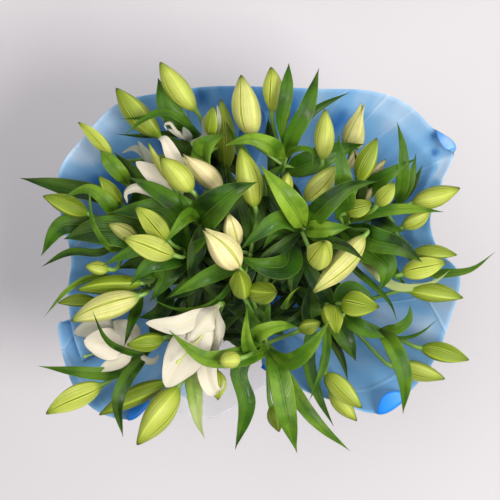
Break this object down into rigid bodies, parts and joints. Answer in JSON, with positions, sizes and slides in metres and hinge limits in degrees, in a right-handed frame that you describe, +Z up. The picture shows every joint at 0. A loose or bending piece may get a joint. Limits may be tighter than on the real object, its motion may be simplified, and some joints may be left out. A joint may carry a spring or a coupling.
{
  "type": "lilies in a vase",
  "caption": "A wrapped bunch of white lilies, mostly in bud, with long green leaves, standing in a plain ceramic vase of water.",
  "frame": {"origin": "centre of the underside of the vase's foot", "axes": "+Z up; +Y is the upper side of the picture and +X its right"},
  "size_m": [0.7104, 0.5779, 0.7024],
  "materials": {
    "vase_glaze": "plain off-white gloss glaze",
    "water": "clear still water",
    "ribbon": "white satin ribbon",
    "film_blue": "translucent matt light-blue wrapping film with soft creases",
    "film_pale": "translucent matt whitish-lilac wrapping film",
    "stem_and_leaf": "fresh green plant tissue, glossy parallel-veined leaves",
    "bud": "yellow-green to cream unopened lily bud, satin, with darker seams",
    "petal": "white lily petal with a yellow-green midrib, soft satin"
  },
  "bodies": {
    "root": {"vase": "vase_glaze", "water": "water", "tie_ribbon": "ribbon", "wrap_sheet_main": "film_blue", "wrap_sheet_left": "film_blue", "wrap_sheet_pale": "film_pale", "lily_stem_01": "stem_and_leaf", "lily_stem_02": "stem_and_leaf", "lily_stem_03": "stem_and_leaf", "lily_stem_04": "stem_and_leaf", "lily_stem_05": "stem_and_leaf", "lily_stem_06": "stem_and_leaf", "lily_stem_07": "stem_and_leaf", "lily_stem_08": "stem_and_leaf", "lily_stem_09": "stem_and_leaf", "lily_stem_10": "stem_and_leaf", "lily_stem_11": "stem_and_leaf", "lily_stem_12": "stem_and_leaf", "lily_stem_13": "stem_and_leaf", "lily_stem_14": "stem_and_leaf", "lily_stem_15": "stem_and_leaf", "lily_bud_01": "bud", "lily_bud_02": "bud", "lily_bud_03": "bud", "lily_bud_04": "bud", "lily_bud_05": "bud", "lily_bud_06": "bud", "lily_bud_07": "bud", "lily_bud_08": "bud", "lily_bud_09": "bud", "lily_bud_10": "bud", "lily_bud_11": "bud", "lily_bud_12": "bud", "lily_bud_13": "bud", "lily_bud_14": "bud", "lily_bud_15": "bud", "lily_bud_16": "bud", "lily_bud_17": "bud", "lily_bud_18": "bud", "lily_bud_19": "bud", "lily_bud_20": "bud", "lily_bud_21": "bud", "lily_bud_22": "bud", "lily_bud_23": "bud", "lily_bud_24": "bud", "lily_bud_25": "bud", "lily_bud_26": "bud", "lily_bud_27": "bud", "lily_bud_28": "bud", "lily_bud_29": "bud", "lily_bud_30": "bud", "lily_bud_31": "bud", "lily_bud_32": "bud", "lily_bud_33": "bud", "lily_bud_34": "bud", "lily_bud_35": "bud", "lily_flower_01": "petal", "lily_flower_02": "petal", "lily_flower_03": "petal", "lily_flower_04": "petal"}
  },
  "joints": []
}
